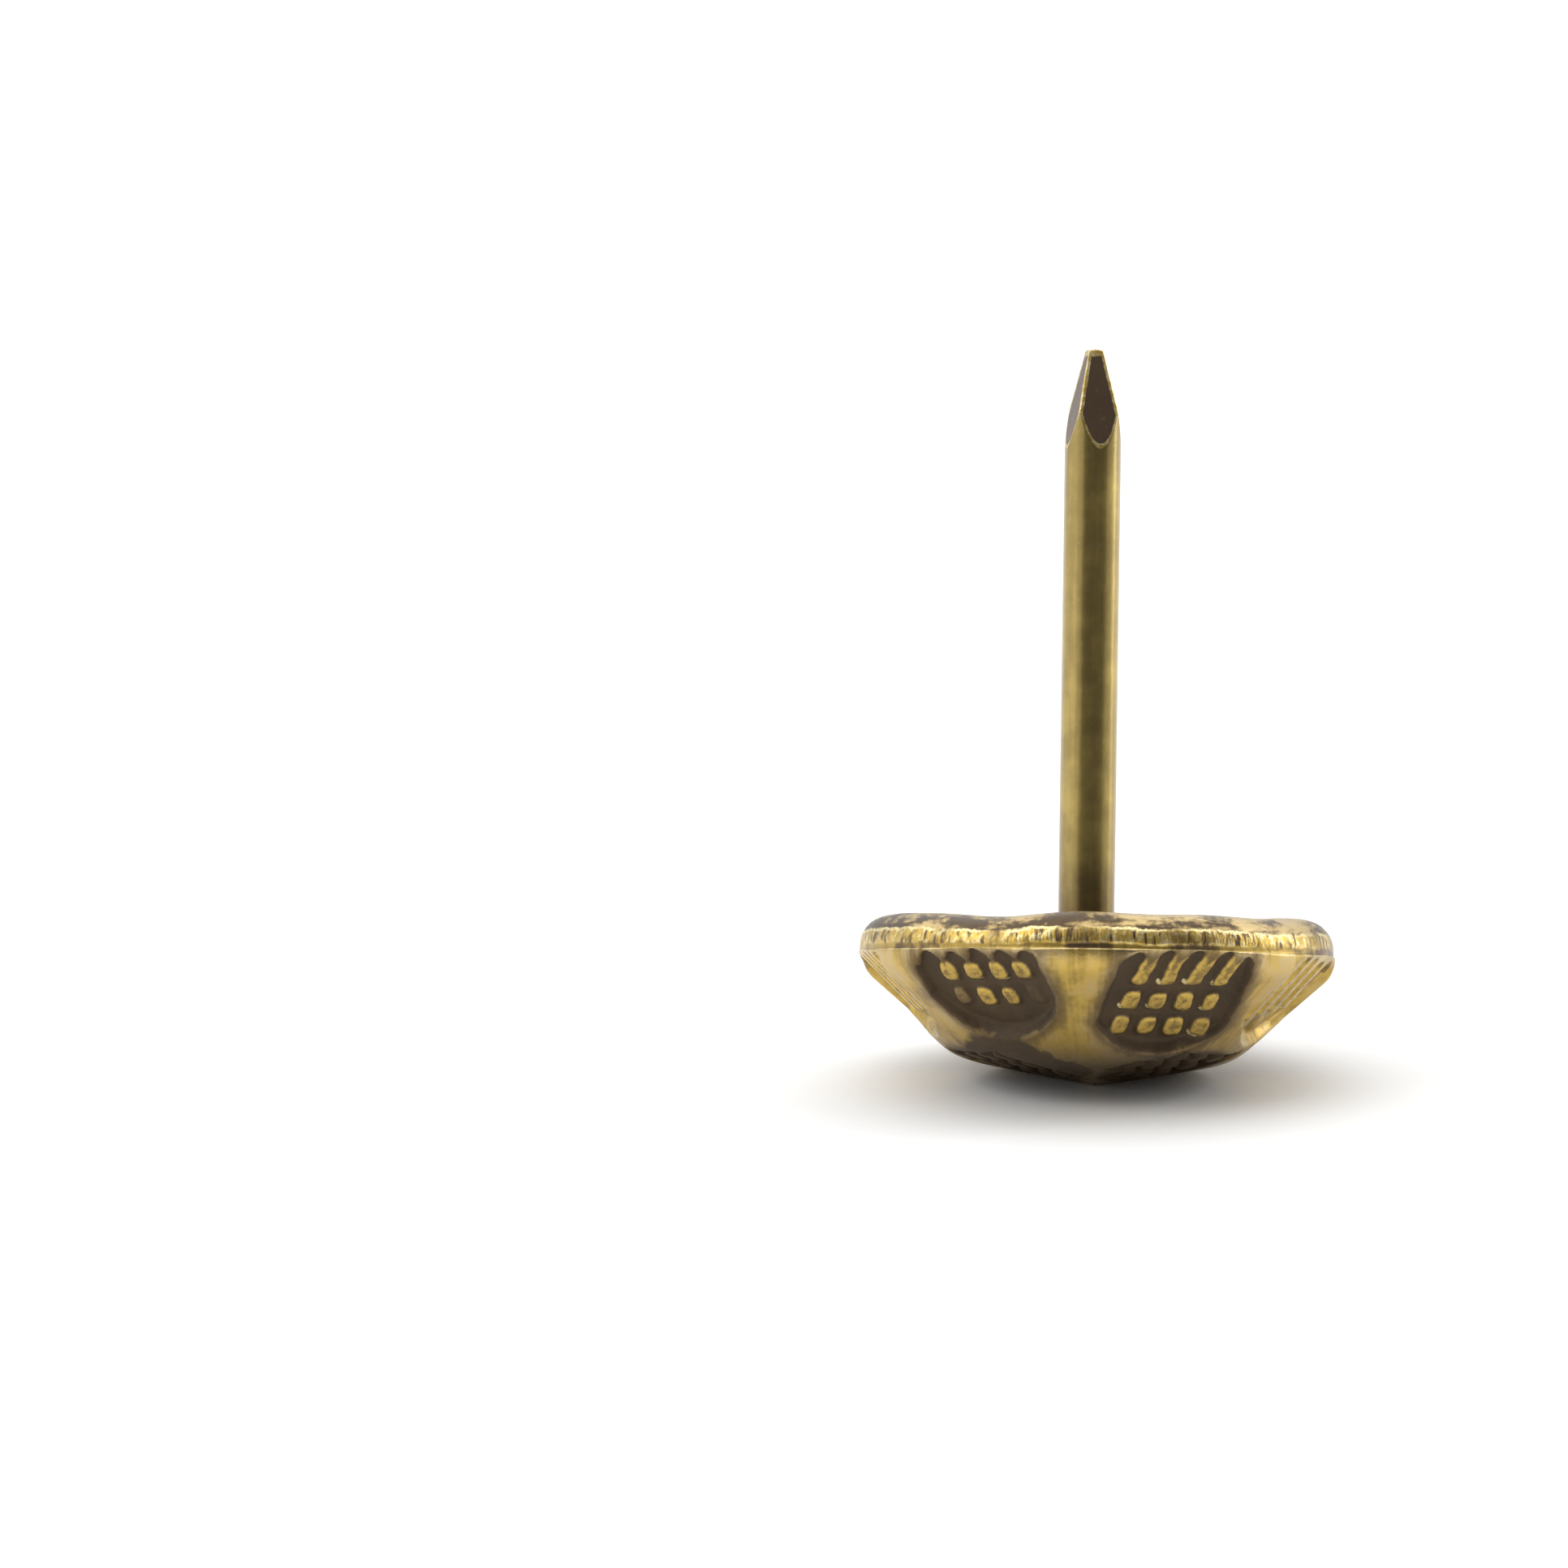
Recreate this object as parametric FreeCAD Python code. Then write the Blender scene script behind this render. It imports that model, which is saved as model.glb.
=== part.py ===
import FreeCAD, Part
import math
import os

os.makedirs("parts", exist_ok=True)

# Upholstery tack with a pressed sheet head and a wire shank, in millimetres.
# It is drawn about its own axis first: the head's apex is at the origin, the head opens upwards
# and the shank points along +Z. At the end it is tipped onto the flat of the crown that it
# rests on, with the middle of its bounding box's base at the origin.

# Head, pressed from sheet
HEAD_D = 11.0
SHEET = 0.5
APEX_ROUND = 3.0
CROWN_SLOPE = 10.5
CROWN_R = 2.6
SHOULDER_ROUND = 2.0
BAND_SLOPE = 42.0
CORNER_ROUND = 0.7

# Turned-in lip, above the line where the blank was trimmed
EDGE_LINE = 0.06
TRIM_RELIEF = 0.04
TRIM_HEIGHT = 0.15
LIP_ROUND = 0.7
LIP_FLAT = 0.3

# Three flats struck on the crown: azimuth of each, turn of its waffle pattern, and the
# pattern's shift across in pitches
CROWN_FLAT_SLOPE = 12.5
CROWN_MARKS = [(-37.5, 2.0, 0.3), (86.0, -10.0, 0.5), (-161.5, -12.0, 0.2)]
CROWN_MARK_AT = 1.95
CROWN_MARK_R = 1.25
CROWN_GROOVE_DEPTH = 0.17
REST_FLAT = 1

# Seven flats struck on the steep band: azimuth of each, turn of its pattern, shift across in
# pitches, height of its middle row, height from which its rows run on as ribs, and how far the
# mark reaches down
BAND_FLAT_SLOPE = 44.0
BAND_FLAT_IN = 1.15
BAND_FLAT_DEPTH = 0.25
BAND_MARKS = [
    (-68.0, 0.0, 0.53, -0.17, 0.4, 1.63),
    (-17.0, 14.0, 0.33, -0.14, 1.0, 1.2),
    (34.8, 4.0, 0.55, -0.12, 0.4, 1.7),
    (86.2, 10.0, 0.26, -0.25, 0.4, 1.15),
    (134.8, -4.0, 0.53, 0.0, 0.4, 1.7),
    (-174.0, -1.0, 0.66, -0.2, 1.0, 1.05),
    (-123.5, 0.0, 0.6, -0.07, 1.0, 1.15),
]
BAND_MARK_W = 3.3
BAND_MARK_UP = 1.42
BAND_MARK_BELLY = 2.1
BAND_MARK_CORNER = 0.35
BAND_LEDGE = 0.07
BAND_GROOVE_DEPTH = 0.14

# Waffle pattern of the punches: pitches and pads across the mark and along its slope
PITCH_X = 0.66
PITCH_Y = 0.8
PAD_X = 0.43
PAD_Y = 0.6
PAD_FLARE = 0.045

# Shank, drawn wire with a cut four-sided point
OVERALL = 17.0
WIRE_D = 1.3
SHANK_OFFSET = 0.25
POINT_LENGTH = 2.12
POINT_TIP_W = 0.31
POINT_TURN = 15.0
NUGGET_RISE = 0.06
WELD_FILLET = 0.35

# Reach of cutting blocks past the metal
CLEAR = 1.0

V = FreeCAD.Vector
ORIGIN = V(0, 0, 0)
UP = V(0, 0, 1)
HEAD_R = HEAD_D / 2
WIRE_R = WIRE_D / 2
BAND_FLAT_AT = HEAD_R - BAND_FLAT_IN


def rad(degrees):
    return math.radians(degrees)


def outward(azimuth):
    """Level unit vector away from the head's axis."""
    return V(math.cos(rad(azimuth)), math.sin(rad(azimuth)), 0)


# Head's profile: tangent lines and arcs in the XZ plane, from the axis to the lip

def facing(slope):
    """Unit vector out of the metal where the profile has that slope."""
    return V(math.sin(rad(slope)), 0, -math.cos(rad(slope)))


def climb(start, run, slope):
    """Point reached from start along a straight slope, after a run outwards."""
    return start + V(run, 0, run * math.tan(rad(slope)))


CROWN_START = V(0, 0, APEX_ROUND) + facing(CROWN_SLOPE) * APEX_ROUND
CROWN_END = climb(CROWN_START, CROWN_R - CROWN_START.x, CROWN_SLOPE)
BAND_START = CROWN_END + (facing(BAND_SLOPE) - facing(CROWN_SLOPE)) * SHOULDER_ROUND
BAND_END_R = HEAD_R - CORNER_ROUND + CORNER_ROUND * facing(BAND_SLOPE).x
BAND_END = climb(BAND_START, BAND_END_R - BAND_START.x, BAND_SLOPE)

APEX_C = V(0, 0, APEX_ROUND)
SHOULDER_C = BAND_START - facing(BAND_SLOPE) * SHOULDER_ROUND
CORNER_C = BAND_END - facing(BAND_SLOPE) * CORNER_ROUND
LIP_C = V(HEAD_R - TRIM_RELIEF - LIP_ROUND, 0, CORNER_C.z + EDGE_LINE + TRIM_HEIGHT)
LIP_TOP = LIP_C.z + LIP_ROUND
MOUTH_R = LIP_C.x - LIP_FLAT


def arc(centre, radius, slope0, slope1):
    """Arc about centre between the points where the profile has the two slopes."""
    slopes = (slope0, (slope0 + slope1) / 2, slope1)
    return Part.Arc(*[centre + facing(slope) * radius for slope in slopes]).toShape()


def chain(edges, corners):
    """Wire of edges in order, joined by straight lines, on through corners and closed on the axis."""
    wire = []
    here = edges[0].Vertexes[0].Point
    for edge in edges:
        if not here.isEqual(edge.Vertexes[0].Point, 1e-6):
            wire.append(Part.makeLine(here, edge.Vertexes[0].Point))
        wire.append(edge)
        here = edge.Vertexes[-1].Point
    for point in corners + [edges[0].Vertexes[0].Point]:
        wire.append(Part.makeLine(here, point))
        here = point
    return Part.Wire(wire)


def face_arcs(inset):
    """Arcs of the face's profile, from the apex to the corner, inset from the outer skin."""
    return [
        arc(APEX_C, APEX_ROUND - inset, 0, CROWN_SLOPE),
        arc(SHOULDER_C, SHOULDER_ROUND - inset, CROWN_SLOPE, BAND_SLOPE),
        arc(CORNER_C, CORNER_ROUND - inset, BAND_SLOPE, 90),
    ]


def outside():
    """Solid of the outer skin: the face, the trimmed edge and the lip, filled to the axis."""
    edge_foot = V(HEAD_R, 0, CORNER_C.z + EDGE_LINE)
    edges = face_arcs(0)
    edges.append(Part.makeLine(edge_foot, edge_foot - V(TRIM_RELIEF, 0, 0)))
    edges.append(arc(LIP_C, LIP_ROUND, 90, 180))
    wire = chain(edges, [V(0, 0, LIP_TOP)])
    return Part.Face(wire).revolve(ORIGIN, UP, 360)


def inside():
    """Solid of the hollow: the sheet's inner skin, square under the lip and open above it."""
    under_lip = LIP_TOP - SHEET
    corners = [
        V(HEAD_R - SHEET, 0, under_lip),
        V(MOUTH_R, 0, under_lip),
        V(MOUTH_R, 0, LIP_TOP + CLEAR),
        V(0, 0, LIP_TOP + CLEAR),
    ]
    return Part.Face(chain(face_arcs(SHEET), corners)).revolve(ORIGIN, UP, 360)


# Places of the struck flats

def flat_frame(azimuth, slope, radius, height):
    """Placement on a flat: X runs round the head, Y up its slope and Z out of the metal."""
    out = outward(azimuth)
    across = UP.cross(out)
    along = out * math.cos(rad(slope)) + UP * math.sin(rad(slope))
    turn = FreeCAD.Rotation(across, along, across.cross(along), "ZXY")
    return FreeCAD.Placement(out * radius + UP * height, turn)


def crown_frame(azimuth):
    """Middle of a mark on the crown, whose flat runs through the apex."""
    height = CROWN_MARK_AT * math.tan(rad(CROWN_FLAT_SLOPE))
    return flat_frame(azimuth, CROWN_FLAT_SLOPE, CROWN_MARK_AT, height)


def band_frame(azimuth):
    """Middle of a mark on the band, whose flat is sunk below the unstruck cone."""
    unstruck = climb(BAND_START, BAND_FLAT_AT - BAND_START.x, BAND_SLOPE)
    height = unstruck.z + BAND_FLAT_DEPTH / math.cos(rad(BAND_FLAT_SLOPE))
    return flat_frame(azimuth, BAND_FLAT_SLOPE, BAND_FLAT_AT, height)


# Punches, drawn flat: the struck surface is at z = 0 and the metal below it

def bend(x, y, radius, start, end):
    """Arc in the XY plane about (x, y), between two angles."""
    return Part.Arc(Part.Circle(V(x, y, 0), UP, radius), rad(start), rad(end)).toShape()


def rounded_mark(inset, down, up):
    """Outline of a mark on the band: round below, straight beside, up to a level side."""
    half = BAND_MARK_W / 2 - inset
    belly = BAND_MARK_BELLY - inset
    corner = BAND_MARK_CORNER
    swing = math.degrees(math.asin(half / belly))
    edges = [
        bend(0, BAND_MARK_BELLY - down, belly, 270 - swing, 270 + swing),
        bend(half - corner, up - corner, corner, 0, 90),
        bend(corner - half, up - corner, corner, 90, 180),
    ]
    return Part.Face(chain(edges, []))


def pad(x, y0, y1, depth, turn):
    """Pad left standing by a punch: a frustum from the groove's floor to a little past the flat."""
    wires = []
    for z in (-depth, PAD_FLARE):
        grow = -z * PAD_FLARE / depth
        half = PAD_X / 2 + grow
        wires.append(
            Part.makePolygon(
                [
                    V(x - half, y0 - grow, z),
                    V(x + half, y0 - grow, z),
                    V(x + half, y1 + grow, z),
                    V(x - half, y1 + grow, z),
                    V(x - half, y0 - grow, z),
                ]
            )
        )
    solid = Part.makeLoft(wires, True, True)
    solid.rotate(ORIGIN, UP, turn)
    return solid


def turned(x, y, turn):
    """Point of a pattern after the pattern is turned."""
    return FreeCAD.Rotation(UP, turn).multVec(V(x, y, 0))


def grid(reach, shift, middle):
    """Centres of the waffle's pads, over a square that holds the mark."""
    columns = math.ceil(reach / PITCH_X)
    rows = math.ceil(reach / PITCH_Y)
    for column in range(-columns, columns + 1):
        for row in range(-rows, rows + 1):
            yield (column + shift) * PITCH_X, middle + row * PITCH_Y


def crown_punch(turn, shift):
    """Waffle cutter for the crown: every cell inside a round, so its outline is stepped."""
    cell_x = 2 * PITCH_X - PAD_X
    cell_y = 2 * PITCH_Y - PAD_Y
    cells = []
    pads = []
    for x, y in grid(CROWN_MARK_R, shift, 0):
        if math.hypot(x, y) > CROWN_MARK_R:
            continue
        cell = Part.makeBox(cell_x, cell_y, CROWN_GROOVE_DEPTH + CLEAR)
        cell.translate(V(x - cell_x / 2, y - cell_y / 2, -CROWN_GROOVE_DEPTH))
        cell.rotate(ORIGIN, UP, turn)
        cells.append(cell)
        pads.append(pad(x, y - PAD_Y / 2, y + PAD_Y / 2, CROWN_GROOVE_DEPTH, turn))
    return cells[0].fuse(cells[1:]).removeSplitter().cut(pads)


def band_punch(turn, shift, middle, rib_from, down):
    """Waffle cutter for the band: pads below, and ribs that run up past its upper side."""
    block = rounded_mark(BAND_LEDGE, down, BAND_MARK_UP)
    block.translate(V(0, 0, -BAND_GROOVE_DEPTH))
    block = block.extrude(V(0, 0, BAND_GROOVE_DEPTH + CLEAR))
    rim = BAND_LEDGE + PAD_X / 2 + PAD_FLARE
    pads = []
    for x, y in grid(BAND_MARK_W, shift, middle):
        spot = turned(x, y, turn)
        below = min(spot.y - BAND_MARK_BELLY + down, 0)
        beside = abs(spot.x) - BAND_MARK_W / 2 + rim
        if beside > 0 or math.hypot(spot.x, below) > BAND_MARK_BELLY - rim:
            continue
        if spot.y < rib_from:
            pads.append(pad(x, y - PAD_Y / 2, y + PAD_Y / 2, BAND_GROOVE_DEPTH, turn))
        elif turned(x, y - PITCH_Y, turn).y < rib_from:
            pads.append(pad(x, y - PAD_Y / 2, y + BAND_MARK_UP + CLEAR, BAND_GROOVE_DEPTH, turn))
    return block.cut(pads)


# Head

def struck(blank, inset):
    """Blank with every flat struck on it, at the depth that suits its skin."""
    span = 2 * HEAD_D
    blocks = []
    for azimuth, _, _ in CROWN_MARKS:
        block = Part.makeBox(span, span, span)
        block.translate(V(-span / 2, -span / 2, -inset))
        block.Placement = crown_frame(azimuth).multiply(block.Placement)
        blocks.append(block)
    for azimuth, *_, down in BAND_MARKS:
        block = rounded_mark(0, down, BAND_MARK_UP + CLEAR)
        block.translate(V(0, 0, -inset))
        block = block.extrude(V(0, 0, inset + CLEAR))
        block.Placement = band_frame(azimuth).multiply(block.Placement)
        blocks.append(block)
    return blank.cut(blocks)


def make_head():
    """Sheet between the two skins, both struck alike, with the waffle punched into the outer one."""
    head = struck(outside(), 0).cut(struck(inside(), SHEET))
    punches = []
    for azimuth, turn, shift in CROWN_MARKS:
        punch = crown_punch(turn, shift)
        punch.Placement = crown_frame(azimuth)
        punches.append(punch)
    for azimuth, turn, shift, middle, rib_from, down in BAND_MARKS:
        punch = band_punch(turn, shift, middle, rib_from, down)
        punch.Placement = band_frame(azimuth)
        punches.append(punch)
    return head.cut(punches)


# Shank

def make_shank(head):
    """Wire with its weld nugget, domed and cut to a point, set on the sheet's inner skin."""
    nugget_r = WIRE_R + WELD_FILLET
    flat_rise = math.tan(rad(CROWN_FLAT_SLOPE))
    nugget_top = SHEET / math.cos(rad(CROWN_FLAT_SLOPE)) + (nugget_r + SHANK_OFFSET) * flat_rise + NUGGET_RISE
    fillet = arc(V(nugget_r, 0, nugget_top + WELD_FILLET), WELD_FILLET, 0, -90)
    dome = arc(V(0, 0, OVERALL - WIRE_R), WIRE_R, 90, 180)
    foot = [V(0, 0, SHEET), V(nugget_r, 0, SHEET)]
    shank = Part.Face(chain([fillet, dome], foot)).revolve(ORIGIN, UP, 360)
    lean = math.degrees(math.atan2(WIRE_R - POINT_TIP_W / 2, POINT_LENGTH))
    facets = []
    for side in range(4):
        facet = Part.makeBox(WIRE_D, 2 * WIRE_D, POINT_LENGTH + 2 * CLEAR)
        facet.translate(V(0, -WIRE_D, -CLEAR))
        facet.rotate(ORIGIN, V(0, 1, 0), -lean)
        facet.translate(V(WIRE_R, 0, OVERALL - POINT_LENGTH))
        facet.rotate(ORIGIN, UP, POINT_TURN + 90 * side)
        facets.append(facet)
    shank = shank.cut(facets)
    shank.translate(V(-SHANK_OFFSET, 0, 0))
    return shank.cut(head)


# Rest: the shank leans over the flat that lies on the ground

def at_rest(shapes):
    """Shapes tipped onto the rest flat and moved over the origin."""
    hinge = UP.cross(outward(CROWN_MARKS[REST_FLAT][0]))
    for shape in shapes:
        shape.rotate(ORIGIN, hinge, CROWN_FLAT_SLOPE)
    box = Part.Compound(shapes).optimalBoundingBox(False, False)
    middle = V(box.Center.x, box.Center.y, box.ZMin)
    for shape in shapes:
        shape.translate(-middle)
    return shapes


head = make_head()
shank = make_shank(head)
head, shank = at_rest([head, shank])
for name, shape in (("head", head), ("shank", shank)):
    print(name, "solids", len(shape.Solids), "faces", len(shape.Faces), "valid", shape.isValid())
    print("  volume", round(shape.Volume, 3), "box", shape.optimalBoundingBox(False, False))
    shape.exportStep("parts/" + name + ".step")
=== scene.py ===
# %% [markdown]
# # Upholstery tack in antique brass
# A tack like this holds fabric to a chair frame. Its head is pressed from thin sheet and struck
# all over with small waffle punches, and its shank is a piece of drawn wire with a cut point.
# The measured model is loaded first and stays as it is: every piece made here sits where it says.

# %% Load the frame
import math

import bpy
from mathutils import Matrix, Vector, noise


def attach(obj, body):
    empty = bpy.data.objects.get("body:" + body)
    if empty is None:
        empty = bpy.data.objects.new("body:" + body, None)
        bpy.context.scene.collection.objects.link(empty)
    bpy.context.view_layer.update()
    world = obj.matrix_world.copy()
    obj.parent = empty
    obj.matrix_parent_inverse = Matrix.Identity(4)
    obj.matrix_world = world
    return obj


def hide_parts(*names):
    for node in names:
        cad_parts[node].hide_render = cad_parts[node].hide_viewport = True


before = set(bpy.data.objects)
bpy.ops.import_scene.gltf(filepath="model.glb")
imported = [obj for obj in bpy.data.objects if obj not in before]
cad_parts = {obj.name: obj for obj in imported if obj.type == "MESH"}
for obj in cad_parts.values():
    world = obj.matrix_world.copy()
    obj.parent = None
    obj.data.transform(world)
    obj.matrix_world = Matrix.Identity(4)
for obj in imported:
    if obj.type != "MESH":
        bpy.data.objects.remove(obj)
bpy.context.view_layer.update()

# %% [markdown]
# ## Sizes
# The sizes are written in millimetres, about the tack's own axis: the head's apex is at zero,
# the head opens upwards and the shank points along +Z. A piece is drawn there, where its numbers
# are simple, and then tipped over onto the flat that it rests on.

# %% Sizes of the head
HEAD_R = 5.5
SHEET = 0.5
APEX_ROUND = 3.0
CROWN_SLOPE = 10.5
CROWN_R = 2.6
SHOULDER_ROUND = 2.0
BAND_SLOPE = 42.0
CORNER_ROUND = 0.7
EDGE_LINE = 0.06
TRIM_RELIEF = 0.04
TRIM_HEIGHT = 0.15
LIP_ROUND = 0.7
LIP_FLAT = 0.3

# %% Sizes of the struck marks
CROWN_FLAT_SLOPE = 12.5
CROWN_MARK_AT = 1.95
CROWN_MARK_R = 1.25
CROWN_GROOVE = 0.17
BAND_FLAT_SLOPE = 44.0
BAND_FLAT_AT = 4.35
BAND_FLAT_DEPTH = 0.25
BAND_HALF = 1.65
BAND_UP = 1.42
BAND_LEDGE = 0.07
BAND_GROOVE = 0.14
PITCH_X = 0.66
PITCH_Y = 0.8
PAD_X = 0.43
PAD_Y = 0.6
BAND_REACH = 36.0
RIM_WAVE = 0.05

# azimuth, turn of the pattern, shift across in pitches and how far the dark stain and painted shade spread
CROWN_MARKS = [(-37.5, 2.0, 0.3, 0.5), (86.0, -10.0, 0.5, 0.6), (-161.5, -12.0, 0.2, 0.6)]

# azimuth, distance from the axis and reach of each dark patch on the shoulder, patina and painted shade
SHOULDER_PATINA_AND_SHADE = [(-135.0, 2.25, 1.75), (-52.0, 2.1, 1.3)]

# azimuth, reach to each side in degrees and depth of a low place in the rim
RIM_DIPS = [(-118.0, 27.0, 0.11), (-48.0, 24.0, 0.04), (62.0, 30.0, 0.07), (160.0, 22.0, 0.05)]

# azimuth, turn, shift across, height of the middle row, start of the ribs, reach down,
# radius of the lower side, lean of the ribs, how much they fan out, room that a full pad needs
# and darkness
BAND_MARKS = [
    (-68.0, 0.0, 0.53, -0.14, 0.4, 1.63, 2.1, 0.19, 0.09, 0.45, 1.0),
    (-17.0, 14.0, 0.33, -0.14, -0.5, 1.2, 2.1, 0.0, 0.0, 0.45, 0.15),
    (34.8, 4.0, 0.55, -0.12, 0.4, 1.7, 2.1, 0.08, 0.06, 0.45, 1.0),
    (86.2, 10.0, 0.26, -0.25, 0.4, 1.15, 2.1, 0.0, 0.05, 0.45, 1.0),
    (134.8, -4.0, 0.53, 0.0, 0.4, 1.7, 2.1, -0.08, 0.06, 0.45, 1.0),
    (-174.0, -1.0, 0.66, -0.2, -0.5, 1.05, 2.1, 0.0, 0.0, 0.45, 0.15),
    (-123.5, 0.0, 0.6, -0.04, 1.0, 1.15, 1.75, 0.0, 0.0, 0.95, 1.0),
]

# %% Sizes of the shank
OVERALL = 17.0
WIRE_R = 0.65
SHANK_OFFSET = 0.25
POINT_LENGTH = 2.12
POINT_TIP = 0.155
POINT_TURN = 15.0
TIP_WIDE = 0.3
TIP_HIGH = 0.14
CUT_EARLY = 0.22
NUGGET_R = 1.0
NUGGET_FOOT = 0.42
WELD_FILLET = 0.35
NUGGET_TOP = 0.85

# %% [markdown]
# ## From the drawing to the floor
# The tack stands on one flat of its crown, so its axis leans over that flat. Tipping about the
# apex and then moving the apex to its measured place puts every point where the solids have it.

# %% Tip a point over
UP = Vector((0, 0, 1))
APEX = Vector((-0.04699, -0.64160, 0))
MM = 0.001


def level(azimuth):
    """Level unit vector at an azimuth in degrees."""
    turn = math.radians(azimuth)
    return Vector((math.cos(turn), math.sin(turn), 0))


LEAN = Matrix.Rotation(math.radians(CROWN_FLAT_SLOPE), 3, UP.cross(level(CROWN_MARKS[1][0])))


def placed(point):
    """Point in millimetres about the tack's axis, moved to its place in metres."""
    return (LEAN @ point + APEX) * MM


print("axis of the tack", [round(value, 4) for value in LEAN @ UP])

# %% [markdown]
# ## The profile of the head
# The head is turned about its axis, but the marks are not, so a lathe alone can't make it. The
# way here is a net of points: rows that follow the profile, each with the same number of points
# round it. The rows lie close enough for a groove a fifth of a millimetre wide to have soft sides.

# %% Rows of the profile


def facing(slope):
    """Unit vector (r, z) out of the metal where the profile has that slope."""
    return Vector((math.sin(math.radians(slope)), -math.cos(math.radians(slope))))


def bow(centre, radius, slope0, slope1, steps):
    """Points of an arc of the profile."""
    return [centre + facing(slope0 + (slope1 - slope0) * i / steps) * radius for i in range(steps + 1)]


def evenly(line, count):
    """Points at even spacing on a line, without its first point."""
    lengths = [0.0]
    for a, b in zip(line, line[1:]):
        lengths.append(lengths[-1] + (b - a).length)
    spaced = []
    at = 1
    for i in range(1, count + 1):
        want = lengths[-1] * i / count
        while lengths[at] < want - 1e-9:
            at += 1
        share = (want - lengths[at - 1]) / (lengths[at] - lengths[at - 1])
        spaced.append(line[at - 1].lerp(line[at], share))
    return spaced


APEX_C = Vector((0, APEX_ROUND))
crown_start = APEX_C + facing(CROWN_SLOPE) * APEX_ROUND
crown_end = crown_start + (CROWN_R - crown_start.x) * Vector((1, math.tan(math.radians(CROWN_SLOPE))))
SHOULDER_C = crown_end - facing(CROWN_SLOPE) * SHOULDER_ROUND
band_start = SHOULDER_C + facing(BAND_SLOPE) * SHOULDER_ROUND
band_run = HEAD_R - CORNER_ROUND + CORNER_ROUND * facing(BAND_SLOPE).x - band_start.x
band_end = band_start + band_run * Vector((1, math.tan(math.radians(BAND_SLOPE))))
CORNER_C = band_end - facing(BAND_SLOPE) * CORNER_ROUND
EDGE_Z = CORNER_C.y + EDGE_LINE
LIP_C = Vector((HEAD_R - TRIM_RELIEF - LIP_ROUND, EDGE_Z + TRIM_HEIGHT))
LIP_TOP = LIP_C.y + LIP_ROUND
MOUTH_R = LIP_C.x - LIP_FLAT


def face_line(inset):
    """Profile of the face from the axis to the corner, inset from the outer skin."""
    return (
        bow(APEX_C, APEX_ROUND - inset, 0, CROWN_SLOPE, 12)
        + bow(SHOULDER_C, SHOULDER_ROUND - inset, CROWN_SLOPE, BAND_SLOPE, 30)
        + bow(CORNER_C, CORNER_ROUND - inset, BAND_SLOPE, 90, 24)
    )


FACE_ROWS = 104
INNER_ROWS = 20
trim_r = HEAD_R - TRIM_RELIEF
rim = [
    Vector((HEAD_R, EDGE_Z - 0.02)),
    Vector((HEAD_R - 0.008, EDGE_Z)),
    Vector((trim_r + 0.01, EDGE_Z + 0.008)),
    Vector((trim_r, EDGE_Z + 0.03)),
    Vector((trim_r, EDGE_Z + 0.08)),
]
rim += bow(LIP_C, LIP_ROUND, 90, 180, 15)
mouth = [
    Vector((MOUTH_R + 0.03, LIP_TOP)),
    Vector((MOUTH_R, LIP_TOP - 0.03)),
    Vector((MOUTH_R, LIP_TOP - SHEET + 0.03)),
    Vector((MOUTH_R + 0.03, LIP_TOP - SHEET)),
    Vector((HEAD_R - SHEET - 0.03, LIP_TOP - SHEET)),
    Vector((HEAD_R - SHEET, LIP_TOP - SHEET - 0.03)),
]
outer_rows = evenly(face_line(0), FACE_ROWS)
inner_rows = evenly(face_line(SHEET), INNER_ROWS)[::-1]
print("rows", len(outer_rows), len(rim), len(mouth), len(inner_rows), "lip top", round(LIP_TOP, 3))

# %% [markdown]
# ## The struck flats
# Each punch leaves a flat, and in it a waffle of grooves round small pads. On the steep band the
# upper grooves run out over the rim like fingers. The punches are worn, so nothing has a sharp
# edge: a smooth step from 0 to 1 takes the place of every wall.

# %% Smooth steps


def ease(value, low, high):
    """0 below low, 1 above high and a smooth step between."""
    share = min(max((value - low) / (high - low), 0.0), 1.0)
    return share * share * (3 - 2 * share)


def over(value, soft):
    """The part of value above zero, with a rounded bend at zero."""
    return (value + math.sqrt(value * value + soft * soft)) / 2


def chance(*seeds):
    """A number from 0 to 1 that looks random and is always the same for the same seeds."""
    mixed = sum(seed * factor for seed, factor in zip(seeds, (12.9898, 78.233, 37.719)))
    total = math.sin(mixed) * 43758.5453
    return total - math.floor(total)


# %% A mark on the head


class Mark:
    """A struck flat: its axes, its waffle and the pads that stand in it."""

    def __init__(self, number, azimuth, slope, radius, height, turn, shift, middle):
        out = level(azimuth)
        rise = math.radians(slope)
        self.number = number
        self.azimuth = azimuth
        self.across = UP.cross(out)
        self.along = out * math.cos(rise) + UP * math.sin(rise)
        self.out = self.across.cross(self.along)
        self.origin = out * radius + UP * height
        self.turn = math.radians(turn)
        self.shift = shift
        self.middle = middle

    def local(self, point):
        """x round the head, y up the slope and height above the flat."""
        step = point - self.origin
        return step.dot(self.across), step.dot(self.along), step.dot(self.out)

    def pattern(self, x, y):
        """Coordinates along the turned waffle."""
        cos, sin = math.cos(self.turn), math.sin(self.turn)
        return x * cos + y * sin, y * cos - x * sin

    def spot(self, column, row):
        """Middle of a pad, in the mark's own x and y."""
        u, v = (column + self.shift) * PITCH_X, self.middle + row * PITCH_Y
        cos, sin = math.cos(self.turn), math.sin(self.turn)
        return u * cos - v * sin, u * sin + v * cos


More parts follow.
